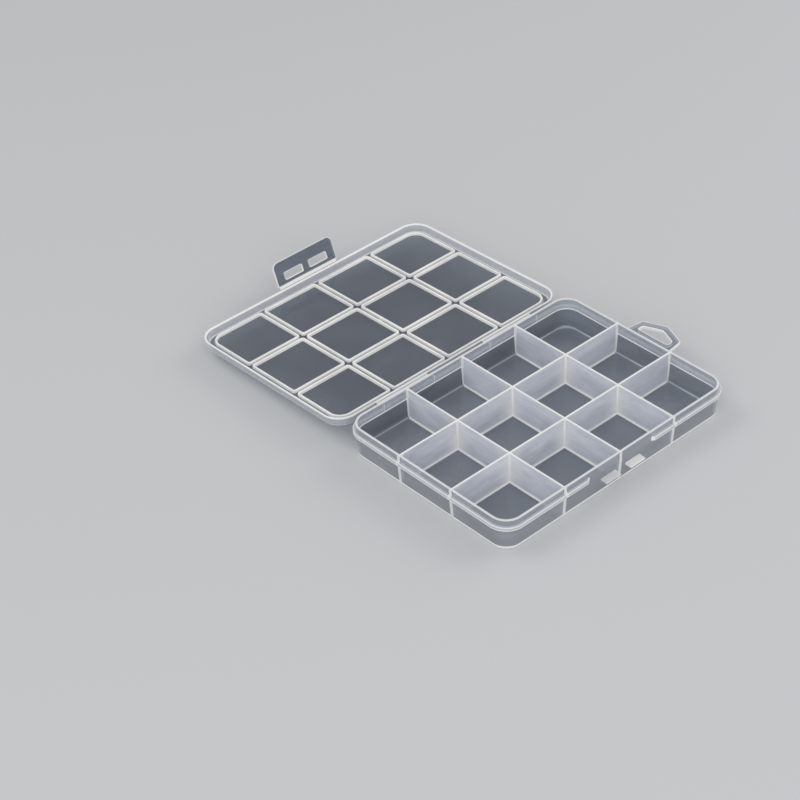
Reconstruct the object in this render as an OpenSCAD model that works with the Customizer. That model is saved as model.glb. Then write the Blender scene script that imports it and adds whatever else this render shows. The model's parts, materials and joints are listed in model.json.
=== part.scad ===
// Bead organizer: a shallow tray with twelve compartments, one lid on two film hinges, and a slotted latch
// flap on a third. It stands as it lies on a table with its lid thrown back.
// Origin: centre of the tray's base. +X runs along the hinge towards the hang tab, +Y towards the hinge.
// The lid and the flap are drawn as on the shut box, and are then turned open about their fold lines.

/* [Box] */
// Length of the box over its rim, along the hinge
box_l = 130; // [104:1:180]
// Width of the box over its rim, from the latch to the hinge
box_w = 93.4; // [74:0.1:140]
// Corner radius of the rim
corner_r = 9; // [7:0.5:12]

/* [Tray] */
// Height of the walls and the dividers
tray_h = 15.2; // [12:0.1:30]
// Thickness of the walls
wall_t = 1; // [0.7:0.05:1.6]
// Thickness of the floor
floor_t = 1; // [0.7:0.05:2]
// How far the walls lean in below the rim, measured at the base
draft = 0.8; // [0.3:0.1:1.5]
// How far the rim stands out from the neck
rim_w = 1.1; // [0.8:0.1:2]
// Thickness of the rim
rim_t = 1.9; // [1.7:0.1:3]
// Height of the neck above the rim, which the lid goes over
neck_h = 2.9; // [2.2:0.1:3.6]
// Fillet between the floor and the walls
floor_r = 1.2; // [0.4:0.1:2]
// Thickness of a divider at its top
divider_t = 0.8; // [0.6:0.05:1.4]
// How much thicker a divider is at its foot
divider_taper = 0.3; // [0:0.05:0.6]

/* [Lid] */
// Thickness of the lid's plate
lid_t = 1; // [0.7:0.05:1.6]
// Thickness of the lid's skirt
skirt_t = 0.85; // [0.7:0.05:1.4]
// Clearance between the skirt and the neck
skirt_gap = 0.35; // [0.3:0.05:0.6]
// Clearance between the lid's plate and the dividers
lid_gap = 0.6; // [0.5:0.1:1]
// Rounding of the lid's upper edge
lid_edge_r = 1.5; // [0.8:0.1:2]
// Width of a rib
rib_t = 1; // [0.6:0.1:1.5]
// Depth of a rib below the plate
rib_d = 1.3; // [0.8:0.1:2]
// Clearance between a divider and the ribs beside it
rib_gap = 0.3; // [0.3:0.05:0.6]
// Space between the skirt and the outer ribs
rib_margin = 3; // [2:0.1:4]
// Corner radius of a rib frame
rib_r = 1.6; // [1.5:0.1:3]
// Corner radius of a rib frame in a corner of the box
rib_corner_r = 6.5; // [4:0.5:8]

/* [Hinge films] */
// Angle that the lid stands open
open_angle = 182; // [150:1:184]
// Thickness of the films
film_t = 0.4; // [0.25:0.05:0.6]
// Half of the gap between the rim and the skirt, and the setback of a film from its fold line
fold_gap = 0.15; // [0.15:0.01:0.3]
// Length of a lid film
film_l = 28.2; // [15:0.1:32]
// Distance of a lid film's middle from the middle of the box
film_x = 30.4; // [20:0.1:32]
// Distance of the lid's fold line from the edge of the rim
hinge_out = 1.65; // [1.5:0.05:3]

/* [Latch] */
// Width of the flap
flap_w = 34; // [28:0.5:44]
// Thickness of the flap
flap_t = 1; // [0.8:0.1:1.5]
// Height of the flap's edge above the table when the box is shut
flap_lift = 0.35; // [0.3:0.05:3]
// Corner radius of the flap
flap_r = 2.8; // [1:0.1:4]
// Distance of the flap's plate from its fold line
flap_root = 1; // [0.7:0.1:1.5]
// Distance of the flap's fold line from the edge of the lid
latch_out = 0.45; // [0.4:0.05:1]
// Angle that the flap stands away from the lid's plane
flap_angle = 71; // [0:1:80]
// Gap in the rim at each end of the flap
latch_side = 1.5; // [0.8:0.1:3]
// Width of a catch lug
lug_w = 8.5; // [6:0.1:10]
// Distance of a catch lug's middle from the middle of the box
lug_x = 7.07; // [6.5:0.01:9]
// Height of a catch lug where it leaves the wall
lug_t = 1; // [0.8:0.1:1.4]
// Drop of a catch lug's top below the rim's upper face
lug_drop = 4.5; // [3.5:0.1:5]
// How far a catch lug stands out past the edge of the rim
lug_out = 2.15; // [1.9:0.05:2.4]
// Clearance between a catch lug and the sides of its slot
slot_side = 0.75; // [0.3:0.05:1]
// Clearance above a catch lug in its slot
slot_above = 1.65; // [0.5:0.05:2]
// Clearance below a catch lug in its slot
slot_below = 0.55; // [0.5:0.05:1]

/* [Hang tab] */
// Width of the tab at the rim
tab_w = 24.4; // [20:0.1:40]
// Width of the tab at its shoulders
tab_shoulder_w = 21.8; // [18:0.1:40]
// Distance of the shoulders from the edge of the rim
tab_shoulder = 9.9; // [8:0.1:14]
// Distance of the tab's point from the edge of the rim
tab_l = 14.4; // [12:0.1:22]
// Thickness of the tab
tab_t = 1.5; // [1:0.1:1.5]
// Width of the band round the opening
tab_band = 2.75; // [2:0.05:4]
// Width of the band between the rim and the opening
tab_root = 4.2; // [2.5:0.1:5]

/* [Hidden] */

cells_l = 4; // compartments along the box
cells_w = 3; // compartments across it
edge_r = 0.25; // rounding of the thin edges
base_r = 0.7; // rounding of the tray's lower edge
rim_r = 0.4; // rounding of the rim's lower edge
arc_n = 4; // steps in a small rounding
corner_fn = 64; // smoothness of the box's corners
film_break = 0.1; // distance of a film's leaves from their fold line
latch_film_in = 0.5; // how much shorter the latch film is than the flap, at each end
gate_r = 1.25; // radius of the vestige inside the lid, where the plastic entered
gate_h = 0.3; // its height

rim_top = tray_h - neck_h;
rim_low = rim_top - rim_t;

// the fold line of the lid, and that of the flap on the shut box
hinge_y = box_w / 2 + hinge_out;
fold_z = rim_top + fold_gap;
lid_out = skirt_gap + skirt_t - rim_w; // how far the lid reaches past the rim
latch_y = -(box_w / 2 + lid_out + latch_out);

// the compartments are equal where the leaning walls are at half height, to a hundredth
function cell_pitch(outer, cells) =
    round(100 * (outer - 2 * (rim_w + wall_t) - draft + divider_t) / cells) / 100;
pitch_l = cell_pitch(box_l, cells_l);
pitch_w = cell_pitch(box_w, cells_w);

lid_l = box_l + 2 * lid_out;
lid_w = box_w + 2 * lid_out;
lid_r = corner_r + lid_out;
lid_low = fold_z + fold_gap;
lid_under = tray_h + lid_gap;
lid_top = lid_under + lid_t;
rib_half_l = lid_l / 2 - skirt_t - rib_margin;
rib_half_w = lid_w / 2 - skirt_t - rib_margin;
rib_half_gap = divider_t / 2 + rib_gap;

lug_top = rim_top - lug_drop;
lug_low = lug_top - lug_t;
lug_tip_t = 0.35 * lug_t;
flap_l = fold_z - flap_lift;

// How far the outside and the inside of the leaning wall lie in from the rim's edge, at a height
function wall_out(z) = rim_w + draft * max(0, 1 - z / rim_low);
function wall_in(z) = wall_out(z) + wall_t;

// Points of an arc
function arc(cx, cy, r, from, to, n = arc_n) =
    [for (i = [0:n]) let (a = from + (to - from) * i / n) [cx + r * cos(a), cy + r * sin(a)]];

// A corner p of an outline between the points a and b, rounded to a radius
function turn(a, p, b, r, n = 6) =
    let (u = (a - p) / norm(a - p), v = (b - p) / norm(b - p), half = acos(u * v) / 2,
         c = p + (u + v) / norm(u + v) * r / sin(half),
         s = p + u * r / tan(half) - c, e = p + v * r / tan(half) - c,
         from = atan2(s.y, s.x), swing = (atan2(e.y, e.x) - from + 540) % 360 - 180)
    arc(c.x, c.y, r, from, from + swing, n);
function rounded(pts, radii) =
    let (n = len(pts)) [for (i = [0:n - 1]) each turn(pts[(i + n - 1) % n], pts[i], pts[(i + 1) % n], radii[i])];

// A list of points, last first
function back(pts) = [for (i = [len(pts) - 1:-1:0]) pts[i]];

// The inside of the wall, from its top edge to the floor, as [distance in from the rim's edge, height]
wall_inside = concat(
    arc(wall_in(tray_h) - edge_r, tray_h - edge_r, edge_r, 90, 0, 2),
    [[wall_in(rim_low), rim_low]],
    arc(wall_in(floor_t + floor_r) + floor_r, floor_t + floor_r, floor_r, 180, 270));
// The outside of the wall, from the base to its top edge, with no rim
wall_outside = concat(
    arc(wall_out(base_r) + base_r, base_r, base_r, 270, 180),
    [[rim_w, rim_low]],
    arc(rim_w + edge_r, tray_h - edge_r, edge_r, 180, 90, 2));
// The rim, in the same form
rim_section = concat([[rim_w, rim_low]], arc(rim_r, rim_low + rim_r, rim_r, 270, 180), [[0, rim_top], [rim_w, rim_top]]);

// A profile run round a rectangle with round corners. The profile is given as [distance in, height], and the
// radii run anticlockwise from the corner at +X +Y.
module ring(l, w, radii, profile) {
    for (k = [0:3]) {
        out = (k % 2 == 0 ? l : w) / 2;
        across = (k % 2 == 0 ? w : l) / 2;
        r = radii[k];
        rotate([0, 0, 90 * k]) {
            translate([out, across - r, 0])
                rotate([90, 0, 0])
                    linear_extrude(2 * across - r - radii[(k + 3) % 4])
                        polygon([for (p = profile) [-p.x, p.y]]);
            translate([out - r, across - r, 0])
                rotate_extrude(angle = 90, $fn = corner_fn)
                    polygon([for (p = profile) [r - p.x, p.y]]);
        }
    }
}

// A plate between two heights with a profile round its edge; the profile reaches in to the corners' centres
module dish(l, w, r, z0, z1, profile) {
    ring(l, w, [r, r, r, r], profile);
    translate([-l / 2 + r, -w / 2 + r, z0]) cube([l - 2 * r, w - 2 * r, z1 - z0]);
}

// An outline in Y and Z, extruded along X on both sides of the middle
module along_x(length) {
    rotate([90, 0, 90]) linear_extrude(length, center = true) children();
}

// An outline in X and Z, extruded along Y on both sides of the middle
module along_y(length) {
    rotate([90, 0, 0]) linear_extrude(length, center = true) children();
}

module natural_plastic() {
    color([0.86, 0.88, 0.9, 0.6]) children();
}

// Floor, leaning walls, neck and rim; the rim stops on each side of the latch with a quarter turn
module tray_shell() {
    gap = flap_w / 2 + latch_side;
    natural_plastic() {
        difference() {
            union() {
                dish(box_l, box_w, corner_r, 0, floor_t,
                    concat([[corner_r, 0]], wall_outside, wall_inside, [[corner_r, floor_t]]));
                ring(box_l, box_w, [for (k = [0:3]) corner_r], rim_section);
            }
            translate([-gap - rim_w, -box_w / 2 - 1, rim_low]) cube([2 * (gap + rim_w), 1 + rim_w, rim_t]);
        }
        for (side = [-1, 1])
            translate([side * (gap + rim_w), -box_w / 2 + rim_w, 0])
                rotate([0, 0, side > 0 ? 180 : 270])
                    rotate_extrude(angle = 90, $fn = corner_fn)
                        polygon([for (p = rim_section) [rim_w - p.x, p.y]]);
    }
}

// Section of a divider, thinner at its top than at its foot
module divider_section() {
    top = divider_t / 2;
    foot = top + divider_taper / 2;
    polygon([[-foot, floor_t], [foot, floor_t], [top, tray_h - edge_r], [top - edge_r / 2, tray_h],
        [edge_r / 2 - top, tray_h], [-top, tray_h - edge_r]]);
}

// Side view of a divider that fits between two facing walls
module divider_side(span) {
    right = [for (p = wall_inside) [span / 2 - p.x, p.y]];
    left = [for (p = wall_inside) [p.x - span / 2, p.y]];
    polygon(concat(right, back(left)));
}

module divider_long(y) {
    intersection() {
        translate([0, y, 0]) along_x(box_l) divider_section();
        along_y(box_w) divider_side(box_l);
    }
}

// A divider across the box, in the stretches between the long ones
module divider_cross(x) {
    difference() {
        intersection() {
            translate([x, 0, 0]) along_y(box_w) divider_section();
            along_x(box_l) divider_side(box_w);
        }
        for (y = [-0.5, 0.5]) divider_long(y * pitch_w);
    }
}

module divider_long_front() { natural_plastic() divider_long(-pitch_w / 2); }
module divider_long_rear() { natural_plastic() divider_long(pitch_w / 2); }
module divider_cross_left() { natural_plastic() divider_cross(-pitch_l); }
module divider_cross_middle() { natural_plastic() divider_cross(0); }
module divider_cross_right() { natural_plastic() divider_cross(pitch_l); }

// A wedge on the front wall with a sloping top and a flat underside, over which the flap's slot goes
module catch_lug(x) {
    front = box_w / 2;
    tip = front + lug_out;
    natural_plastic()
        translate([x, 0, 0])
            along_x(lug_w)
                polygon([[wall_out(lug_top) - front, lug_top], [edge_r - tip, lug_low + lug_tip_t + edge_r],
                    [-tip, lug_low + lug_tip_t], [-tip, lug_low], [wall_out(lug_low) - front, lug_low]]);
}

// A five-sided loop level with the rim's upper face
module hang_tab() {
    // the opening's sides keep the band's width from the outline
    hole_half = tab_shoulder_w / 2 - tab_band;
    hole_end = tab_l - 1.4 * tab_band;
    natural_plastic()
        translate([box_l / 2, 0, rim_top - tab_t])
            linear_extrude(tab_t)
                difference() {
                    polygon(concat([[0, -tab_w / 2]],
                        turn([0, -tab_w / 2], [tab_shoulder, -tab_shoulder_w / 2], [tab_l, 0], 1.5),
                        turn([tab_shoulder, -tab_shoulder_w / 2], [tab_l, 0], [tab_shoulder, tab_shoulder_w / 2], 3),
                        turn([tab_l, 0], [tab_shoulder, tab_shoulder_w / 2], [0, tab_w / 2], 1.5),
                        [[0, tab_w / 2]]));
                    polygon(rounded([[tab_root, -hole_half], [tab_shoulder - tab_band, -hole_half],
                        [hole_end, 0], [tab_shoulder - tab_band, hole_half], [tab_root, hole_half]],
                        [0.6, 1, 2, 1, 0.6]));
                }
}

// The lid's plate and skirt, as on the shut box
module lid_shut() {
    skirt = concat([[lid_r, lid_under]],
        back(arc(skirt_t + edge_r * 2, lid_under - edge_r * 2, edge_r * 2, 180, 90)),
        [[skirt_t, lid_low + edge_r], [skirt_t - edge_r, lid_low], [0, lid_low]],
        arc(lid_edge_r, lid_top - lid_edge_r, lid_edge_r, 180, 90), [[lid_r, lid_top]]);
    dish(lid_l, lid_w, lid_r, lid_under, lid_top, skirt);
    // the gate's vestige is as wide as the gap between the ribs
    gate_half = rib_half_gap - 0.05;
    intersection() {
        translate([0, 0, lid_under - gate_h]) cylinder(h = gate_h + lid_t / 2, r = gate_r, $fn = 32);
        translate([-gate_half, -gate_r, lid_low]) cube([2 * gate_half, 2 * gate_r, lid_top - lid_low]);
    }
}

// Turns what is drawn on the shut box open about the lid's fold line
module on_lid() {
    translate([0, hinge_y, fold_z])
        rotate([-open_angle, 0, 0])
            translate([0, -hinge_y, -fold_z]) children();
}

// Turns the flap, drawn level with the lid's lower edge, about its own fold line
module on_flap() {
    on_lid() translate([0, latch_y, fold_z]) rotate([flap_angle, 0, 0]) children();
}

module lid_shell() { natural_plastic() on_lid() lid_shut(); }

// Edges of a rib frame along one direction: the outer margin, or half of the gap over a divider
function frame_low(i, count, pitch, edge) = i == 0 ? -edge : (i - count / 2) * pitch + rib_half_gap;
function frame_high(i, count, pitch, edge) = -frame_low(count - 1 - i, count, pitch, edge);

// The ribs that close one compartment, with a large radius in the corners of the box
module rib_frame(col, row) {
    x0 = frame_low(col, cells_l, pitch_l, rib_half_l);
    x1 = frame_high(col, cells_l, pitch_l, rib_half_l);
    y0 = frame_low(row, cells_w, pitch_w, rib_half_w);
    y1 = frame_high(row, cells_w, pitch_w, rib_half_w);
    last = [cells_l - 1, cells_w - 1];
    radii = [for (at = [last, [0, last.y], [0, 0], [last.x, 0]]) [col, row] == at ? rib_corner_r : rib_r];
    low = lid_under - rib_d;
    natural_plastic()
        on_lid()
            translate([(x0 + x1) / 2, (y0 + y1) / 2, 0])
                ring(x1 - x0, y1 - y0, radii, concat([[0, lid_under]],
                    arc(edge_r, low + edge_r, edge_r, 180, 270, 2),
                    arc(rib_t - edge_r, low + edge_r, edge_r, 270, 360, 2), [[rib_t, lid_under]]));
}

// One leaf of a film, from the edge that carries it to just short of its fold line, which lies at Y = 0
module film_leaf(x, length, reach, side) {
    translate([x - length / 2, -reach, side > 0 ? fold_gap : -fold_gap - film_t])
        cube([length, reach - film_break, film_t]);
}

module tray_leaf(x) {
    natural_plastic() translate([0, hinge_y, fold_z]) film_leaf(x, film_l, hinge_out, -1);
}
module lid_leaf(x) {
    natural_plastic() on_lid() translate([0, hinge_y, fold_z]) film_leaf(x, film_l, hinge_out - lid_out, 1);
}

module film_left_tray_leaf() { tray_leaf(-film_x); }
module film_right_tray_leaf() { tray_leaf(film_x); }
module film_left_lid_leaf() { lid_leaf(-film_x); }
module film_right_lid_leaf() { lid_leaf(film_x); }

module latch_film_lid_leaf() {
    natural_plastic()
        on_lid()
            translate([0, latch_y, fold_z])
                mirror([0, 1, 0]) film_leaf(0, flap_w - 2 * latch_film_in, latch_out, 1);
}
module latch_film_flap_leaf() {
    natural_plastic() on_flap() film_leaf(0, flap_w - 2 * latch_film_in, flap_root, 1);
}

// The flap, with two slots that go over the catch lugs
module latch_flap() {
    half = flap_w / 2;
    slot_half = lug_w / 2 + slot_side;
    slot_near = fold_z - lug_top - slot_above;
    slot_far = fold_z - lug_low + slot_below;
    natural_plastic()
        on_flap()
            translate([0, 0, fold_gap])
                linear_extrude(flap_t)
                    difference() {
                        polygon(concat([[half, -flap_root], [-half, -flap_root]],
                            arc(flap_r - half, flap_r - flap_l, flap_r, 180, 270, 8),
                            arc(half - flap_r, flap_r - flap_l, flap_r, 270, 360, 8)));
                        for (x = [-lug_x, lug_x])
                            polygon(rounded([[x - slot_half, -slot_near], [x - slot_half, -slot_far],
                                [x + slot_half, -slot_far], [x + slot_half, -slot_near]],
                                [0.4, 0.4, 0.4, 0.4]));
                    }
}

tray_shell();
divider_long_front();
divider_long_rear();
divider_cross_left();
divider_cross_middle();
divider_cross_right();
catch_lug(-lug_x);  // catch_lug_left
catch_lug(lug_x);  // catch_lug_right
hang_tab();
film_left_tray_leaf();
film_right_tray_leaf();
lid_shell();
rib_frame(0, 0);  // rib_frame_front_1
rib_frame(1, 0);  // rib_frame_front_2
rib_frame(2, 0);  // rib_frame_front_3
rib_frame(3, 0);  // rib_frame_front_4
rib_frame(0, 1);  // rib_frame_middle_1
rib_frame(1, 1);  // rib_frame_middle_2
rib_frame(2, 1);  // rib_frame_middle_3
rib_frame(3, 1);  // rib_frame_middle_4
rib_frame(0, 2);  // rib_frame_rear_1
rib_frame(1, 2);  // rib_frame_rear_2
rib_frame(2, 2);  // rib_frame_rear_3
rib_frame(3, 2);  // rib_frame_rear_4
film_left_lid_leaf();
film_right_lid_leaf();
latch_film_lid_leaf();
latch_flap();
latch_film_flap_leaf();
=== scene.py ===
"""A translucent bead organizer with its lid thrown back: finishes, hinge films, softened edges, a studio."""

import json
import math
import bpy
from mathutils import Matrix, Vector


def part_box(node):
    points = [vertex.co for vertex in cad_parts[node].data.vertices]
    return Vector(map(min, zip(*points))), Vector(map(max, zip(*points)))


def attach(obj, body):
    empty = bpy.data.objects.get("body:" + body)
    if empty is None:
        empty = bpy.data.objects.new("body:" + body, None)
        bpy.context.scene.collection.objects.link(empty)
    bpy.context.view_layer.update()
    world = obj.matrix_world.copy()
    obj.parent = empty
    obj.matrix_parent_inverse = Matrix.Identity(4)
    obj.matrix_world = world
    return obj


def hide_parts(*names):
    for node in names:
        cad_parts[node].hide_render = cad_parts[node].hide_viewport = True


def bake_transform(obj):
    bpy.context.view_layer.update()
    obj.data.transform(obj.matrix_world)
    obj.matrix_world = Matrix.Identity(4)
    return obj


bl_info = {
    "name": "Bead organizer box",
    "version": (1, 0, 0),
    "blender": (4, 5, 0),
    "location": "View3D > Sidebar > Bead box",
    "description": "Finishes the moulded bead organizer and sets it in a plain studio",
    "category": "Object",
}

import bmesh
import bpy
from bpy.props import FloatProperty, FloatVectorProperty, PointerProperty, StringProperty
from mathutils import Matrix, Vector

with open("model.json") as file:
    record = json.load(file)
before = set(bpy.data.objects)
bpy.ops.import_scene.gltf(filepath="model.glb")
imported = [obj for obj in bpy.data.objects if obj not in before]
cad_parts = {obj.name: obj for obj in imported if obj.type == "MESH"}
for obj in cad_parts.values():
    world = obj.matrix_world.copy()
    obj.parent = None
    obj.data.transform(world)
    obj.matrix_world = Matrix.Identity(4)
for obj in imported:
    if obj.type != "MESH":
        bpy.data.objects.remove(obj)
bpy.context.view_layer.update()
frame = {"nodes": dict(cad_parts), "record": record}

MM = 0.001
DIVIDERS = [n for n in frame["nodes"] if n.startswith("divider")]
RIB_FRAMES = [n for n in frame["nodes"] if n.startswith("rib_frame")]

JOINTS = {j["name"]: j for j in frame["record"]["behaviour"]["joints"]}
LID_AXIS = Vector(JOINTS["lid_hinge"]["pos_m"])
LATCH_AXIS = Vector(JOINTS["latch_hinge"]["pos_m"])
OPEN_ANGLE = math.radians(JOINTS["lid_hinge"]["range_deg"][1])  # between the shut lid and the open one
FLAP_ANGLE = math.radians(-JOINTS["latch_hinge"]["range_deg"][0])  # from the lid's plane to the flap

# Sizes that are read from the frame
HALF_L, HALF_W, TRAY_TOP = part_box("tray_shell")[1]  # half the length and width over the rim, and the height
PITCH_L = sum(corner.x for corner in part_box("divider_cross_right")) / 2  # of the compartments along the box
PITCH_W = sum(corner.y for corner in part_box("divider_long_rear"))  # and across it
FILM_ENDS = [corner.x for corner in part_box("film_right_tray_leaf")]  # and the same on the left
FLAP_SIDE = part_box("latch_flap")[1].x  # half the flap's width
RIB_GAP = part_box("rib_frame_front_3")[0].x  # from the middle of a divider to the rib beside it
RIB_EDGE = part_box("rib_frame_front_4")[1].x  # the outermost rib's outer face

# Sizes of the moulding that the finishes and the new pieces follow
FLOOR_T = 1.0 * MM  # thickness of the tray's floor
CORNER_R = 9.0 * MM  # corner radius of the rim
RIM_T = 1.9 * MM  # height of the rim
NECK_H = 2.9 * MM  # height of the neck above the rim
RIM_TOP = TRAY_TOP - NECK_H
LATCH_SIDE = 1.5 * MM  # from the flap's side to the end of the rim beside it
LATCH_GAP = FLAP_SIDE + LATCH_SIDE  # half the gap in the rim at the latch
LID_REACH = 0.1 * MM  # how far the lid reaches past the rim
PLATE_GAP = 0.6 * MM  # from the tray's top to the shut lid's plate
PLATE_IN = TRAY_TOP + PLATE_GAP - LID_AXIS.z  # height of the shut plate's inner face over the fold
RIB_T = 1.0 * MM  # thickness of a rib
GATE_R = 1.25 * MM  # radius of the marks that the mould's gates left in the middle of the tray and the lid
GATE_H = 0.3 * MM  # height of the tray's mark
FILM_T = 0.4 * MM  # thickness of a hinge film
PINCH = 0.35 * MM  # how far on each side of its fold line a film is thinner than that
FOLD_GAP = 0.15 * MM  # from a fold line to the film beside it
FILM_RIM = 1.35 * MM  # from the lid's fold line to the lines along the rim and the skirt
LATCH_BEND = 0.6 * MM  # how wide the bend in the latch film is
LATCH_LID = 0.45 * MM  # how far the latch film reaches from its fold line to the lid
LATCH_FLAP = 1.0 * MM  # and to the flap

# Where the outer faces of the tray's wall end and its inner faces begin, in mm in from the rim's edge
WALL_MIDDLE = (1.95, 2.1)
# Share of a painted white edge's scattered light that leaves on its far side
EDGE_THROUGH = 0.1


def linear(code):
    """A linear colour, with alpha, from an sRGB hex code."""
    parts = [int(code[i : i + 2], 16) / 255 for i in (1, 3, 5)]
    return [c / 12.92 if c <= 0.04045 else ((c + 0.055) / 1.055) ** 2.4 for c in parts] + [1.0]


class BeadBoxFinish(bpy.types.PropertyGroup):
    """What a user would change in the plastic."""

    body: StringProperty(
        name="Body colour", description="Colour that the plastic scatters", default="#eff1f7")
    # painted light: the edge colour paints the white lines, the ribs and the rounded edges, a painted glow
    # standing in for light piped through the plastic; the lugs and the gate mark use it as their own white
    edge: StringProperty(name="Edge colour", description="Colour of the lit edges", default="#fcfcfb")
    tint: StringProperty(
        name="Tint", description="Colour of light that goes through a face", default="#d4d8dd")
    panel: FloatProperty(
        name="Lid milkiness", description="Share of light that a face of the lid or the flap scatters",
        default=0.12, min=0, max=1, subtype="FACTOR")
    shell: FloatProperty(
        name="Tray milkiness", description="Share of light that a face of the tray's floor or walls scatters",
        default=0.2, min=0, max=1, subtype="FACTOR")
    # partly the dividers' own milkier look, partly painted light: far more milk than the panels, lighter
    # upright faces standing in for light that enters their tops and scatters inside
    wall: FloatProperty(
        name="Divider milkiness", description="Share of light that a face of a divider scatters",
        default=0.78, min=0, max=1, subtype="FACTOR")
    # painted light: the edge milkiness makes the painted white lines, ribs and rounded edges scatter almost
    # all light, a painted glow
    lit: FloatProperty(
        name="Edge milkiness", description="Share of light that an edge scatters",
        default=0.92, min=0, max=1, subtype="FACTOR")


class BeadBoxSizes(bpy.types.PropertyGroup):
    """Sizes of what is modelled here."""

    soft: FloatProperty(
        name="Edge rounding", description="Rounding of the flap's, the tab's and the lugs' edges",
        default=0.32 * MM, min=0, unit="LENGTH")
    crease: FloatProperty(
        name="Film crease", description="Thickness of a hinge film along its fold",
        default=0.25 * MM, min=0, unit="LENGTH")
    fold: FloatProperty(
        name="Fold reach", description="How far on each side of its fold line a lid film bends",
        default=0.6 * MM, min=0, unit="LENGTH")


class BeadBoxStage(bpy.types.PropertyGroup):
    """The studio."""

    floor: StringProperty(name="Floor colour", description="Colour of the plain floor", default="#c8cacc")
    lens: FloatProperty(
        name="Focal length", description="Focal length in mm", default=97.35, min=20, unit="CAMERA")
    azimuth: FloatProperty(
        name="Camera azimuth", description="Where the camera stands round the box",
        default=math.radians(-41.14), subtype="ANGLE")
    elevation: FloatProperty(
        name="Camera elevation", description="How high the camera looks down from",
        default=math.radians(37.46), subtype="ANGLE")
    roll: FloatProperty(
        name="Camera roll", description="Tilt of the picture", default=math.radians(-2.464), subtype="ANGLE")
    distance: FloatProperty(
        name="Camera distance", description="From the point looked at", default=0.91046, unit="LENGTH")
    target: FloatVectorProperty(
        name="Looked at", description="The point at the picture's centre, on the table",
        default=(-0.02591, 0.0559, 0.0), subtype="TRANSLATION")


# Places on the box, for the materials ------------------------------------------------------------------


def add(tree, kind, inputs=None, stops=None, **settings):
    """Adds a node. An input that is given a socket is linked to it, and any other value is set."""
    made = tree.nodes.new(kind)
    for name, value in settings.items():
        setattr(made, name, value)
    for key, value in (inputs or {}).items():
        if isinstance(value, bpy.types.NodeSocket):
            tree.links.new(value, made.inputs[key])
        else:
            made.inputs[key].default_value = value
    if stops:
        ramp = made.color_ramp
        while len(ramp.elements) < len(stops):
            ramp.elements.new(0.5)
        for element, (at, level) in zip(ramp.elements, stops):
            element.position = at
            element.color = (level, level, level, 1)
    return made


def combine(tree, operation, *values):
    """The largest, least or product of several values."""
    result = values[0]
    for value in values[1:]:
        result = add(tree, "ShaderNodeMath", {0: result, 1: value}, operation=operation).outputs[0]
    return result


def within(tree, value, near, far):
    """1 up to near and 0 past far, both in mm, with a soft step between them."""
    step = add(
        tree, "ShaderNodeMapRange",
        {"Value": value, "From Min": near * MM, "From Max": far * MM, "To Min": 1.0, "To Max": 0.0},
        interpolation_type="SMOOTHSTEP")
    return step.outputs[0]


def beyond(tree, value, near, far):
    """0 up to near and 1 past far, both in mm, with a soft step between them."""
    return within(tree, value, far, near)


def height_band(tree, height, stops):
    """A level that follows a height, from stops of (height in mm, level)."""
    reach = stops[-1][0]
    share = add(
        tree, "ShaderNodeMath", {0: height, 1: 1 / (reach * MM)}, operation="MULTIPLY", use_clamp=True)
    shares = [(at / reach, level) for at, level in stops]
    return add(tree, "ShaderNodeValToRGB", {0: share.outputs[0]}, stops=shares).outputs[0]


def ring(tree, height, stops, inside, near, far):
    """A height band that goes round the box, as deep in from its edge as near and gone at far, both in mm."""
    return combine(tree, "MULTIPLY", height_band(tree, height, stops), within(tree, inside, near, far))


def off_line(tree, value, at):
    """How far a coordinate lies from the pair of planes at plus and minus a distance."""
    size = add(tree, "ShaderNodeMath", {0: value}, operation="ABSOLUTE").outputs[0]
    shift = add(tree, "ShaderNodeMath", {0: size, 1: at}, operation="SUBTRACT").outputs[0]
    return add(tree, "ShaderNodeMath", {0: shift}, operation="ABSOLUTE").outputs[0]


def from_grid(tree, value, pitch, shift):
    """How far a coordinate lies from the nearest of lines that stand at whole pitches from the shift."""
    run = add(tree, "ShaderNodeMath", {0: value, 1: shift}, operation="ADD").outputs[0]
    return add(tree, "ShaderNodeMath", {0: run, 1: pitch / 2}, operation="PINGPONG").outputs[0]


def in_from_rim(tree, x, y, reach=0.0):
    """How far a point lies in from the rim's edge, or from that of a piece that reaches past the rim. The
    edge is a rectangle with round corners."""
    sizes = [add(tree, "ShaderNodeMath", {0: value}, operation="ABSOLUTE").outputs[0] for value in (x, y)]
    over = [
        add(tree, "ShaderNodeMath", {0: size, 1: half - CORNER_R}, operation="SUBTRACT").outputs[0]
        for size, half in zip(sizes, (HALF_L, HALF_W))]
    outer = [combine(tree, "MAXIMUM", value, 0.0) for value in over]
    corner = add(tree, "ShaderNodeCombineXYZ", {0: outer[0], 1: outer[1]}).outputs[0]
    far = add(tree, "ShaderNodeVectorMath", {0: corner}, operation="LENGTH").outputs["Value"]
    inner = combine(tree, "MINIMUM", combine(tree, "MAXIMUM", *over), 0.0)
    out = add(tree, "ShaderNodeMath", {0: far, 1: inner}, operation="ADD").outputs[0]
    return add(tree, "ShaderNodeMath", {0: CORNER_R + reach, 1: out}, operation="SUBTRACT").outputs[0]


def off_film_ends(tree, x):
    """How far a coordinate lies from the nearest end of a lid film."""
    return combine(tree, "MINIMUM", *(off_line(tree, x, end) for end in FILM_ENDS))


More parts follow.
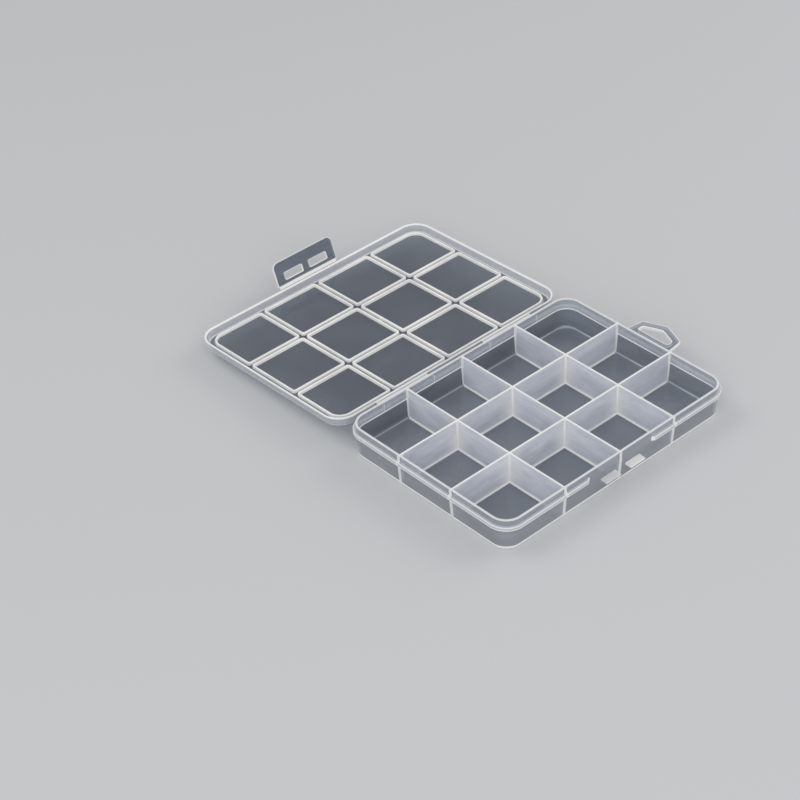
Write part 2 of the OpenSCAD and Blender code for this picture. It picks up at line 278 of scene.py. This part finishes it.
def shut_lid(tree, place):
    """Where a point of the lid lies when the lid is shut: its X, its Y and its height over the fold."""
    moved = add(tree, "ShaderNodeVectorMath", {0: place, 1: tuple(LID_AXIS)}, operation="SUBTRACT").outputs[0]
    shut = add(
        tree, "ShaderNodeMapping", {"Vector": moved, "Rotation": (OPEN_ANGLE, 0.0, 0.0)}, vector_type="POINT")
    x, back, height = add(tree, "ShaderNodeSeparateXYZ", {0: shut.outputs[0]}).outputs
    y = add(tree, "ShaderNodeMath", {0: back, 1: LID_AXIS.y}, operation="ADD").outputs[0]
    return x, y, height


# Where light and shade are painted on the plastic, and where it is open ----------------------------------


def tray_painted_light_lines(tree, place):
    """Painted light: white lines at the base's edge, the wall's top, the rim's edges and root, the steps at
    the lid films, and where the dividers join the walls and the floor, and painted milk on the wall's outer
    face."""
    x, y, z = add(tree, "ShaderNodeSeparateXYZ", {0: place}).outputs
    inside = in_from_rim(tree, x, y)
    foot, low, high, top = FLOOR_T / MM, (RIM_TOP - RIM_T) / MM, RIM_TOP / MM, TRAY_TOP / MM
    base = ring(tree, z, [(0, 1), (1.4, 1), (1.65, 0)], inside, 2.5, 2.8)
    # painted light: the outer face of the wall and of the neck above the rim gets more milk than the inside,
    # lighter walls standing in for the longer slanted path of the light through the plastic
    skin = ring(
        tree, z, [(0.9, 0), (1.4, 0.16), (low - 0.3, 0.16), (high, 0.12), (top - 0.5, 0.12), (top, 0)],
        inside, *WALL_MIDDLE)
    wall = height_band(tree, z, [(0, 0), (top - 0.5, 0), (top - 0.25, 0.8), (top, 0.8)])
    rim = ring(
        tree, z, [(low - 0.1, 0), (low, 1), (low + 0.45, 1), (low + 0.7, 0.3), (high - 0.5, 0.3),
                  (high - 0.25, 1), (high + 0.1, 1), (high + 0.2, 0)], inside, 0.25, 0.45)
    flange = ring(
        tree, z, [(low - 0.2, 0), (low - 0.1, 0.45), (high + 0.1, 0.45), (high + 0.2, 0)], inside, 1.2, 1.4)
    root = ring(
        tree, z, [(low - 0.8, 0), (low - 0.55, 1), (low + 0.05, 1), (low + 0.15, 0)], inside, 2.3, 2.6)
    # the rim stops at each side of the latch, and so does its root; each end of the rim gets a painted
    # highlight
    end = combine(tree, "MULTIPLY", within(tree, off_line(tree, x, LATCH_GAP), 0.5, 0.8), flange, 2.2)
    rear = beyond(tree, y, 0.0, 1.0)
    beside = beyond(tree, off_line(tree, x, 0.0), LATCH_GAP / MM, LATCH_GAP / MM + 0.3)
    along = combine(tree, "MAXIMUM", beside, rear)
    flange = combine(tree, "MULTIPLY", flange, along)
    root = combine(tree, "MULTIPLY", root, along)
    # a painted highlight on a step in the rim and in half of the neck at each end of a lid film
    step = height_band(tree, z, [(0, 0), (low, 0), (low + 0.1, 0.7), (top - 1.3, 0.7), (top - 1.2, 0)])
    step = combine(tree, "MULTIPLY", within(tree, off_film_ends(tree, x), 0.15, 0.3), step, rear)
    across = combine(
        tree, "MINIMUM", off_line(tree, x, 0.0), off_line(tree, x, PITCH_L), off_line(tree, y, PITCH_W / 2))
    feet = height_band(tree, z, [(0, 0), (foot - 0.2, 0), (foot - 0.1, 1), (foot + 0.1, 1)])
    feet = combine(tree, "MULTIPLY", within(tree, across, 1.15, 1.4), feet, beyond(tree, inside, 3.6, 4.0))
    joins = combine(tree, "MULTIPLY", within(tree, across, 0.7, 0.95), 0.85)
    return combine(tree, "MAXIMUM", base, skin, wall, rim, flange, end, root, feet, step, joins)


def walls_painted_shade(tree, place):
    """Painted shade: a deeper tint on the inner face of the tray's walls between the floor and the rim,
    darkest just above the floor, standing in for walls seen at a slant, through more plastic."""
    x, y, z = add(tree, "ShaderNodeSeparateXYZ", {0: place}).outputs
    foot, low = FLOOR_T / MM, (RIM_TOP - RIM_T) / MM
    level = height_band(
        tree, z, [(0, 0), (foot + 0.35, 0), (foot + 0.5, 1), (foot + 1.3, 1), (foot + 1.8, 0.85),
                  (low - 0.3, 0.85), (low, 0)])
    return combine(tree, "MULTIPLY", level, beyond(tree, in_from_rim(tree, x, y), *WALL_MIDDLE))


def divider_painted_light_lines(run, pitch, shift, reach):
    """Painted light: a divider's top and foot, and the upright lines where it meets another divider or a
    wall, are painted white. run is 0 for a divider along X and 1 for one along Y. What crosses it stands at
    whole pitches from the shift. A painted glow, brightest low down, stands in for the light that gathers
    beside a meeting with another divider, which lies less than reach from the middle."""

    def lines(tree, place):
        coordinates = add(tree, "ShaderNodeSeparateXYZ", {0: place}).outputs
        along, height, top = coordinates[run], coordinates[2], TRAY_TOP / MM
        level = height_band(
            tree, height, [(0, 1), (1.6, 1), (1.85, 0), (top - 0.5, 0), (top - 0.25, 1), (top, 1)])
        beside = from_grid(tree, along, pitch, shift)
        middle = within(tree, off_line(tree, along, 0.0), reach / MM - 1, reach / MM + 1)
        low = height_band(tree, height, [(0, 0.75), (0.4 * top, 0.75), (top, 0.3)])
        glow = combine(tree, "MULTIPLY", within(tree, beside, 0.5, 10.0), middle, low)
        return combine(tree, "MAXIMUM", level, within(tree, beside, 1.0, 1.35), glow)

    return lines


def lid_gate_skin_and_painted_highlights(tree, place):
    """Painted highlights on the free edge of the lid's skirt and on the rounded edge of its plate, the gate's
    mark in its middle and the milky outer face, measured as on the shut lid."""
    x, y, height = shut_lid(tree, place)
    inside = in_from_rim(tree, x, y, LID_REACH)
    skirt = ring(
        tree, height, [(0, 1), (0.5, 1), (0.9, 0.2), (3.2, 0.2), (3.6, 1), (4.4, 1)], inside, 1.1, 2.0)
    middle = add(tree, "ShaderNodeCombineXYZ", {0: x, 1: y}).outputs[0]
    gate = add(tree, "ShaderNodeVectorMath", {0: middle}, operation="LENGTH").outputs["Value"]
    gate = combine(tree, "MULTIPLY", within(tree, gate, GATE_R / MM, GATE_R / MM + 0.2), 0.75)
    plate = PLATE_IN / MM
    skin = height_band(tree, height, [(0, 0), (plate + 0.7, 0), (plate + 0.8, 0.22), (plate + 1.2, 0.22)])
    return combine(tree, "MAXIMUM", skirt, gate, skin)


def on_plate(tree, height):
    """1 on the inner face of the lid's plate and 0 elsewhere, from a height over the fold."""
    return within(tree, off_line(tree, height, PLATE_IN), 0.2, 0.3)


def panels_deeper(tree, place):
    """The inner face of the lid's plate. The tint is deeper there, and the milk lies at the outer face, so
    that the panels are clear from within and milky from without."""
    return on_plate(tree, shut_lid(tree, place)[2])


def rib_roots(tree, place):
    """Where the ribs grow out of the inner face of the lid's plate."""
    x, y, height = shut_lid(tree, place)
    margin = HALF_L + LID_REACH - RIB_EDGE - RIB_GAP
    inside = in_from_rim(tree, x, y, LID_REACH)
    skirt = add(tree, "ShaderNodeMath", {0: inside, 1: margin}, operation="SUBTRACT").outputs[0]
    columns, rows = from_grid(tree, x, PITCH_L, 0.0), from_grid(tree, y, PITCH_W, PITCH_W / 2)
    rib = off_line(tree, combine(tree, "MINIMUM", columns, rows, skirt), RIB_GAP + RIB_T / 2)
    return combine(tree, "MULTIPLY", within(tree, rib, 0.45, 0.5), on_plate(tree, height))


def film_lines(tree, place):
    """The crease of a lid film along the fold, and painted highlights on its edges beside the rim and the
    skirt and on its ends.
    """
    x, y = add(tree, "ShaderNodeSeparateXYZ", {0: place}).outputs[:2]
    off = add(tree, "ShaderNodeMath", {0: y, 1: LID_AXIS.y}, operation="SUBTRACT").outputs[0]
    crease = within(tree, off_line(tree, off, 0.0), 0.25, 0.45)
    edges = within(tree, off_line(tree, off, FILM_RIM), 0.15, 0.3)
    return combine(tree, "MAXIMUM", crease, edges, within(tree, off_film_ends(tree, x), 0.25, 0.4))


def latch_film_lines(tree, place):
    """The flap's side of the latch film, where the flap has been bent most often."""
    y = add(tree, "ShaderNodeSeparateXYZ", {0: place}).outputs[1]
    before = add(tree, "ShaderNodeMath", {0: LATCH_AXIS.y, 1: y}, operation="SUBTRACT").outputs[0]
    return within(tree, before, 0.0, 0.15)


# The plastic -------------------------------------------------------------------------------------------


def moulded_plastic(
        name, milk, colour, lit=0.0, lines=None, roughness=0.13, crest=0.12, cloud=0.16, depth=1.0,
        through=0.4, deep=None, deepest=4.0, open_at=None):
    """Natural polypropylene as it comes from a mould: clear enough to see through, with a little milk in it
    and a soft gloss. Its edges and seams are painted white, a painted glow standing in for the light that
    runs inside the walls and leaves there.

    milk is the share of light that a face scatters, and lit is that of a painted white line. crest is the
    height of the surface's ripple in mm, and cloud is how uneven the milk is. depth is how many times over
    the light that goes through takes the tint, and through is the share of the scattered light that leaves
    on the far side. Three functions of a tree and a place say where things are: lines the painted white
    lines, deep where the tint is taken deepest times over, and open_at where the plastic runs on into
    another piece and has no face."""
    finish = bpy.context.scene.bead_box_finish
    material = bpy.data.materials.new(name)
    material.use_nodes = True
    tree = material.node_tree
    tree.nodes.clear()
    place = add(tree, "ShaderNodeTexCoord").outputs["Object"]
    # the flow of the melt leaves the milk uneven, in clouds of 2 cm that lie along the walls, 5 mm high
    along = add(tree, "ShaderNodeVectorMath", {0: place, 1: (1.0, 1.0, 4.0)}, operation="MULTIPLY").outputs[0]
    flow = add(
        tree, "ShaderNodeTexNoise",
        {"Vector": along, "Scale": 1 / (20 * MM), "Detail": 3.0, "Roughness": 0.5,
         "Distortion": 0.25}).outputs[0]
    share = add(
        tree, "ShaderNodeMapRange",
        {"Value": flow, "From Min": 0.3, "From Max": 0.7, "To Min": milk * (1 - cloud),
         "To Max": milk * (1 + cloud)}).outputs[0]
    tone = linear(colour)
    # painted light: where the lines lie, the face scatters more, takes the edge colour and passes less light
    # on, a painted white glow
    if lines:
        where, white = lines(tree, place), linear(finish.edge)
        share = add(tree, "ShaderNodeMix", {0: where, 2: share, 3: lit}, data_type="FLOAT").outputs[0]
        tone = add(tree, "ShaderNodeMix", {0: where, 6: tone, 7: white}, data_type="RGBA").outputs[2]
        through = add(
            tree, "ShaderNodeMix", {0: where, 2: through, 3: EDGE_THROUGH}, data_type="FLOAT").outputs[0]
    # the mould's polish leaves a faint ripple, about 4 mm from crest to crest
    ripple = add(
        tree, "ShaderNodeTexNoise", {"Vector": place, "Scale": 1 / (4 * MM), "Detail": 1.5}).outputs[0]
    bump = add(
        tree, "ShaderNodeBump", {"Height": ripple, "Strength": 0.12, "Distance": crest * MM}).outputs[0]
    rough = add(
        tree, "ShaderNodeMapRange",
        {"Value": flow, "To Min": roughness * 0.8, "To Max": roughness * 1.25}).outputs[0]
    scatter = add(
        tree, "ShaderNodeBsdfPrincipled",
        {"Base Color": tone, "Roughness": 0.55, "Specular IOR Level": 0.0, "Normal": bump})
    passed = add(tree, "ShaderNodeBsdfTranslucent", {"Color": tone, "Normal": bump})
    solid = add(tree, "ShaderNodeMixShader", {0: through, 1: scatter.outputs[0], 2: passed.outputs[0]})
    tint = [c**depth for c in linear(finish.tint)]
    if deep:
        deeper = [c**deepest for c in linear(finish.tint)]
        tint = add(
            tree, "ShaderNodeMix", {0: deep(tree, place), 6: tint, 7: deeper}, data_type="RGBA").outputs[2]
    clear = add(tree, "ShaderNodeBsdfTransparent", {"Color": tint})
    matter = add(tree, "ShaderNodeMixShader", {0: share, 1: clear.outputs[0], 2: solid.outputs[0]})
    # gloss that grows towards a grazing view from the 3.9 % that a plastic of index 1.49 has face on
    facing = add(tree, "ShaderNodeLayerWeight", {"Blend": 0.5, "Normal": bump}).outputs["Facing"]
    graze = add(tree, "ShaderNodeMath", {0: facing, 1: 5.0}, operation="POWER").outputs[0]
    mirror = add(tree, "ShaderNodeMath", {0: graze, 1: 0.6, 2: 0.039}, operation="MULTIPLY_ADD").outputs[0]
    gloss = add(
        tree, "ShaderNodeBsdfAnisotropic", {"Color": (1, 1, 1, 1), "Roughness": rough, "Normal": bump})
    surface = add(tree, "ShaderNodeMixShader", {0: mirror, 1: matter.outputs[0], 2: gloss.outputs[0]})
    if open_at:
        gone = add(tree, "ShaderNodeBsdfTransparent", {"Color": (1, 1, 1, 1)})
        surface = add(
            tree, "ShaderNodeMixShader", {0: open_at(tree, place), 1: surface.outputs[0], 2: gone.outputs[0]})
    add(tree, "ShaderNodeOutputMaterial", {"Surface": surface.outputs[0]})
    return material


# Geometry ----------------------------------------------------------------------------------------------


def assign(node_name, material):
    """Gives a CAD node its material."""
    made = frame["nodes"][node_name]
    made.data.materials.clear()
    made.data.materials.append(material)


def piece(name, bm, body, materials, node_names):
    """An object from a bmesh, riding on a body and standing for CAD nodes."""
    mesh = bpy.data.meshes.new(name)
    bm.to_mesh(mesh)
    bm.free()
    made = bpy.data.objects.new(name, mesh)
    bpy.context.scene.collection.objects.link(made)
    for material in materials:
        mesh.materials.append(material)
    if node_names:
        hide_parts(*node_names)
    if body:
        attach(made, body)
    return made


def softened(node_name, width, flat=None, border=0.0):
    """A copy of a CAD node's mesh with its sharp edges rounded. Faces square to flat keep material 0, but for
    a border, and all the others, the piece's thickness and its roundings, get material 1."""
    bm = bmesh.new()
    bm.from_mesh(frame["nodes"][node_name].data)
    bmesh.ops.remove_doubles(bm, verts=bm.verts, dist=1e-6)
    bmesh.ops.dissolve_limit(bm, angle_limit=math.radians(1), verts=bm.verts, edges=bm.edges)
    sharp = [e for e in bm.edges if len(e.link_faces) == 2 and e.calc_face_angle() > math.radians(25)]
    bmesh.ops.bevel(
        bm, geom=sharp, offset=width, offset_type="OFFSET", segments=2, profile=0.5, affect="EDGES",
        clamp_overlap=True, material=-1)
    # where a piece is thin, the roundings meet in faces without width
    bmesh.ops.dissolve_degenerate(bm, dist=2e-6, edges=bm.edges)
    bmesh.ops.recalc_face_normals(bm, faces=bm.faces)
    broad = [f for f in bm.faces if flat and abs(f.normal.dot(flat)) > 0.98]
    for face in bm.faces:
        face.material_index = 1
        face.smooth = True
    if border:
        bmesh.ops.inset_region(bm, faces=broad, thickness=border, use_boundary=True, use_even_offset=True)
    for face in broad:
        face.material_index = 0
    return bm


def keep_flat(made):
    """Shading that keeps broad faces flat beside their roundings."""
    made.modifiers.new("flat faces", "WEIGHTED_NORMAL").keep_sharp = True


def film_section(start, end, crease, steps=12):
    """A hinge film's outline across its fold, from start to end along Y, with the fold at Y = 0. It lies
    above Z = 0 and is pinched to the crease's thickness on its outer side."""
    under, over = [], []
    for i in range(steps + 1):
        y = start + (end - start) * i / steps
        full = min(1.0, abs(y) / PINCH) ** 2
        under.append(Vector((0, y, 0)))
        over.append(Vector((0, y, crease + (FILM_T - crease) * full)))
    return under, over


def film_mesh(start, end, crease, low_x, high_x, place):
    """A film as a solid strip between two X. place moves a point of the flat strip to where it lies."""
    bm = bmesh.new()
    rows = [[bm.verts.new(place(p)) for p in side] for side in film_section(start, end, crease)]
    outline = bm.faces.new(rows[0] + rows[1][::-1])
    for vert in bm.verts:
        vert.co.x = low_x
    bmesh.ops.extrude_face_region(bm, geom=[outline])
    moved = [v for v in bm.verts if v not in rows[0] and v not in rows[1]]
    bmesh.ops.translate(bm, verts=moved, vec=(high_x - low_x, 0, 0))
    bmesh.ops.recalc_face_normals(bm, faces=bm.faces)
    return bm


def on_lid_fold(p):
    """Where a point of a flat lid film lies in the open pose. The part past the fold follows the lid."""
    tilt = Matrix.Rotation(math.pi - OPEN_ANGLE if p.y > 0 else 0.0, 3, "X")
    return LID_AXIS + tilt @ Vector((0, p.y, -FOLD_GAP - p.z))


def on_latch_fold(p):
    """Where a point of the flat latch film lies in the open pose. It bends round from the lid to the flap."""
    share = min(1.0, max(0.0, 0.5 - p.y / LATCH_BEND))
    share = share * share * (3 - 2 * share)
    bend = Matrix.Rotation(FLAP_ANGLE * share, 3, "X")
    return LATCH_AXIS + Matrix.Rotation(-OPEN_ANGLE, 3, "X") @ bend @ Vector((0, p.y, FOLD_GAP + p.z))


# Operators ---------------------------------------------------------------------------------------------


class BEADBOX_OT_stage(bpy.types.Operator):
    """Set the camera, the lights, the floor and the surroundings"""

    bl_idname = "bead_box.stage"
    bl_label = "Studio"

    def execute(self, context):
        scene = context.scene
        stage = scene.bead_box_stage
        self.camera(scene, stage)
        self.floor(scene, stage)
        self.lights(scene)
        self.surroundings(scene, stage)
        scene.view_settings.view_transform = "Standard"
        # a line of sight crosses up to a dozen see-through faces
        scene.cycles.transparent_max_bounces = 40
        return {"FINISHED"}

    def camera(self, scene, stage):
        az, el = stage.azimuth, stage.elevation
        back = Vector((math.sin(az) * math.cos(el), -math.cos(az) * math.cos(el), math.sin(el)))
        right = (-back).cross(Vector((0, 0, 1))).normalized()
        up = right.cross(-back)
        side = right * math.cos(stage.roll) + up * math.sin(stage.roll)
        over = up * math.cos(stage.roll) - right * math.sin(stage.roll)
        data = bpy.data.cameras.new("camera")
        data.sensor_width = 36
        data.lens = stage.lens
        data.clip_start, data.clip_end = 0.02, 60
        made = bpy.data.objects.new("camera", data)
        scene.collection.objects.link(made)
        turn = Matrix((side, over, back)).transposed().to_4x4()
        made.matrix_world = Matrix.Translation(Vector(stage.target) + back * stage.distance) @ turn
        scene.camera = made

    def floor(self, scene, stage):
        # a hair below the box's underside, so that the two faces don't flicker through each other
        bm = bmesh.new()
        bmesh.ops.create_circle(bm, cap_ends=True, segments=96, radius=20)
        bmesh.ops.translate(bm, verts=bm.verts, vec=(0, 0, -0.1 * MM))
        mesh = bpy.data.meshes.new("floor")
        bm.to_mesh(mesh)
        bm.free()
        made = bpy.data.objects.new("floor", mesh)
        scene.collection.objects.link(made)
        material = bpy.data.materials.new("matt_floor")
        material.use_nodes = True
        tree = material.node_tree
        tree.nodes.clear()
        paint = add(
            tree, "ShaderNodeBsdfPrincipled",
            {"Base Color": linear(stage.floor), "Roughness": 0.8, "Specular IOR Level": 0.2})
        add(tree, "ShaderNodeOutputMaterial", {"Surface": paint.outputs[0]})
        mesh.materials.append(material)

    def lights(self, scene):
        middle = Vector((0, 0.05, 0))
        # name, place, width, height and watts of a key from behind, a fill over the camera and a side light
        for name, at, width, height, power in (
            ("key", (-0.55, 0.9, 1.25), 1.1, 0.8, 5.0),
            ("fill", (-0.95, -1.0, 0.85), 2.0, 1.6, 17.0),
            ("side", (1.1, -0.3, 0.7), 1.0, 0.8, 5.0),
        ):
            data = bpy.data.lights.new(name, "AREA")
            data.shape = "RECTANGLE"
            data.size, data.size_y = width, height
            data.energy = power
            made = bpy.data.objects.new(name, data)
            scene.collection.objects.link(made)
            made.location = at
            made.rotation_euler = (middle - Vector(at)).to_track_quat("-Z", "Y").to_euler()

    def surroundings(self, scene, stage):
        world = bpy.data.worlds.new("studio")
        scene.world = world
        world.use_nodes = True
        tree = world.node_tree
        tree.nodes.clear()
        path = add(tree, "ShaderNodeLightPath").outputs
        seen = combine(
            tree, "MAXIMUM", path["Is Camera Ray"], path["Is Glossy Ray"], path["Is Transmission Ray"])
        lamp = add(tree, "ShaderNodeBackground", {"Color": linear("#efefef"), "Strength": 0.5})
        shown = add(tree, "ShaderNodeBackground", {"Color": linear(stage.floor), "Strength": 1.0})
        pick = add(tree, "ShaderNodeMixShader", {0: seen, 1: lamp.outputs[0], 2: shown.outputs[0]})
        add(tree, "ShaderNodeOutputWorld", {"Surface": pick.outputs[0]})


class BEADBOX_OT_tray(bpy.types.Operator):
    """Finish the tray's shell"""

    bl_idname = "bead_box.tray"
    bl_label = "Tray shell"

    def execute(self, context):
        finish = context.scene.bead_box_finish
        assign("tray_shell", moulded_plastic(
            "polypropylene_tray", finish.shell, finish.body, finish.lit, tray_painted_light_lines, crest=0.08,
            deep=walls_painted_shade))
        return {"FINISHED"}


class BEADBOX_OT_dividers(bpy.types.Operator):
    """Finish the dividers of the tray"""

    bl_idname = "bead_box.dividers"
    bl_label = "Dividers"

    def execute(self, context):
        finish = context.scene.bead_box_finish
        long_plastic = moulded_plastic(
            "polypropylene_long_divider", finish.wall, finish.body, finish.lit,
            divider_painted_light_lines(0, PITCH_L, 0.0, 1.5 * PITCH_L), cloud=0.2)
        cross_plastic = moulded_plastic(
            "polypropylene_cross_divider", finish.wall, finish.body, finish.lit,
            divider_painted_light_lines(1, PITCH_W, PITCH_W / 2, PITCH_W), cloud=0.2)
        for name in DIVIDERS:
            assign(name, long_plastic if "long" in name else cross_plastic)
        return {"FINISHED"}


class BEADBOX_OT_lid(bpy.types.Operator):
    """Finish the lid's shell and its rib frames"""

    bl_idname = "bead_box.lid"
    bl_label = "Lid and ribs"

    def execute(self, context):
        finish = context.scene.bead_box_finish
        assign("lid_shell", moulded_plastic(
            "polypropylene_lid", finish.panel, finish.body, finish.lit, lid_gate_skin_and_painted_highlights, depth=0.5,
            deep=panels_deeper, deepest=2.8, open_at=rib_roots))
        # painted light: the ribs are made all of the white edge material, a painted glow standing in for
        # light piped along them
        ribs = moulded_plastic(
            "polypropylene_rib_painted_glow", finish.lit, finish.edge, roughness=0.25, through=EDGE_THROUGH)
        for name in RIB_FRAMES:
            assign(name, ribs)
        return {"FINISHED"}


class BEADBOX_OT_flap(bpy.types.Operator):
    """Model the latch flap with rounded edges"""

    bl_idname = "bead_box.flap"
    bl_label = "Latch flap"

    def execute(self, context):
        finish = context.scene.bead_box_finish
        # painted shade: the flap's tint is taken 2.5 times over, so that it looks as dark as the lid's
        # panels, which lie over their own shadow
        plastic = moulded_plastic("polypropylene_flap", finish.panel, finish.body, depth=2.5)
        # painted highlight: the flap's thickness and rounded edges get the white edge material
        edge = moulded_plastic(
            "polypropylene_flap_painted_highlight_edge", finish.lit, finish.edge, roughness=0.22, through=EDGE_THROUGH)
        flat = Matrix.Rotation(FLAP_ANGLE - OPEN_ANGLE, 3, "X") @ Vector((0, 0, 1))
        bm = softened("latch_flap", context.scene.bead_box_sizes.soft, flat, border=0.25 * MM)
        keep_flat(piece("latch_flap_plate", bm, "latch", [plastic, edge], ["latch_flap"]))
        return {"FINISHED"}


class BEADBOX_OT_hang_tab(bpy.types.Operator):
    """Model the hang tab with rounded edges"""

    bl_idname = "bead_box.hang_tab"
    bl_label = "Hang tab"

    def execute(self, context):
        finish = context.scene.bead_box_finish
        # painted shade: the tab's tint is taken 1.2 times over, darkening it towards the lid's panels, which
        # lie over their own shadow
        plastic = moulded_plastic("polypropylene_tab", finish.panel, finish.body, depth=1.2)
        # painted highlight: the tab's thickness and rounded edges get the white edge material
        edge = moulded_plastic(
            "polypropylene_tab_painted_highlight_edge", finish.lit, finish.edge, roughness=0.22, through=EDGE_THROUGH)
        flat = Vector((0, 0, 1))
        bm = softened("hang_tab", context.scene.bead_box_sizes.soft, flat, border=0.3 * MM)
        keep_flat(piece("hang_tab_loop", bm, "tray", [plastic, edge], ["hang_tab"]))
        return {"FINISHED"}


class BEADBOX_OT_lugs(bpy.types.Operator):
    """Model the two catch lugs"""

    bl_idname = "bead_box.lugs"
    bl_label = "Catch lugs"

    def execute(self, context):
        # frosted, because the mould's insert for the lugs is spark-eroded and not polished
        finish = context.scene.bead_box_finish
        frosted = moulded_plastic(
            "polypropylene_frosted_lug", 0.6, finish.edge, roughness=0.45, crest=0.4, cloud=0.35, through=0.2)
        for side in ("left", "right"):
            bm = softened(f"catch_lug_{side}", context.scene.bead_box_sizes.soft)
            made = piece(f"lug_{side}", bm, "tray", [frosted, frosted], [f"catch_lug_{side}"])
            keep_flat(made)
        return {"FINISHED"}


class BEADBOX_OT_gate(bpy.types.Operator):
    """Model the mark on the tray's floor where the plastic entered the mould"""

    bl_idname = "bead_box.gate"
    bl_label = "Tray gate mark"

    def execute(self, context):
        # torn and rough, because the runner was twisted off there
        finish = context.scene.bead_box_finish
        torn = moulded_plastic(
            "polypropylene_torn_gate", finish.lit, finish.edge, roughness=0.6, crest=0.3,
            through=EDGE_THROUGH)
        bm = bmesh.new()
        bmesh.ops.create_cone(
            bm, cap_ends=True, segments=32, radius1=GATE_R, radius2=GATE_R * 0.85, depth=GATE_H,
            matrix=Matrix.Translation((0, 0, FLOOR_T + GATE_H / 2)))
        piece("tray_gate_mark", bm, "tray", [torn], [])
        return {"FINISHED"}


class BEADBOX_OT_films(bpy.types.Operator):
    """Model the three hinge films as strips, bent as they lie with the lid thrown back"""

    bl_idname = "bead_box.films"
    bl_label = "Hinge films"

    def execute(self, context):
        finish, sizes = context.scene.bead_box_finish, context.scene.bead_box_sizes
        self.lid_films(finish, sizes)
        self.latch_film(finish, sizes)
        return {"FINISHED"}

    def lid_films(self, finish, sizes):
        # bending at the fold has whitened the plastic there, and the film's edges and ends carry painted
        # highlights
        white = moulded_plastic(
            "polypropylene_whitened_film", 0.5, finish.body, finish.lit, film_lines, roughness=0.3,
            through=0.2)
        for side in ("left", "right"):
            nodes = [f"film_{side}_tray_leaf", f"film_{side}_lid_leaf"]
            low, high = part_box(nodes[0])
            rim = low.y - LID_AXIS.y
            bm = film_mesh(rim, -rim - LID_REACH, sizes.crease, low.x, high.x, on_lid_fold)
            strip = piece(f"lid_film_{side}", bm, None, [white], nodes)
            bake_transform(strip)

    def latch_film(self, finish, sizes):
        bright = moulded_plastic(
            "polypropylene_whitened_latch_film", finish.panel, finish.body, finish.lit, latch_film_lines,
            roughness=0.4, depth=3.0, through=EDGE_THROUGH)
        nodes = ["latch_film_lid_leaf", "latch_film_flap_leaf"]
        low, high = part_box(nodes[0])
        bm = film_mesh(-LATCH_FLAP, LATCH_LID, sizes.crease, low.x, high.x, on_latch_fold)
        strip = piece("latch_film", bm, None, [bright], nodes)
        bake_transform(strip)


PIECES = (
    BEADBOX_OT_stage,
    BEADBOX_OT_tray,
    BEADBOX_OT_dividers,
    BEADBOX_OT_lid,
    BEADBOX_OT_flap,
    BEADBOX_OT_hang_tab,
    BEADBOX_OT_lugs,
    BEADBOX_OT_gate,
    BEADBOX_OT_films,
)
GROUPS = {"bead_box_finish": BeadBoxFinish, "bead_box_sizes": BeadBoxSizes, "bead_box_stage": BeadBoxStage}


class BEADBOX_PT_panel(bpy.types.Panel):
    """Lists the steps and the settings in the sidebar"""

    bl_idname = "BEADBOX_PT_panel"
    bl_label = "Bead organizer"
    bl_space_type = "VIEW_3D"
    bl_region_type = "UI"
    bl_category = "Bead box"

    def draw(self, context):
        for step in PIECES:
            self.layout.operator(step.bl_idname)
        for group in GROUPS:
            settings = getattr(context.scene, group)
            for name in settings.__annotations__:
                self.layout.prop(settings, name)


def register():
    for cls in (*GROUPS.values(), *PIECES, BEADBOX_PT_panel):
        bpy.utils.register_class(cls)
    for name, cls in GROUPS.items():
        setattr(bpy.types.Scene, name, PointerProperty(type=cls))


def unregister():
    for name in GROUPS:
        delattr(bpy.types.Scene, name)
    for cls in (BEADBOX_PT_panel, *reversed(PIECES), *reversed(tuple(GROUPS.values()))):
        bpy.utils.unregister_class(cls)


def main():
    register()
    for step in PIECES:
        group, name = step.bl_idname.split(".")
        getattr(getattr(bpy.ops, group), name)()


if __name__ == "__main__":
    main()
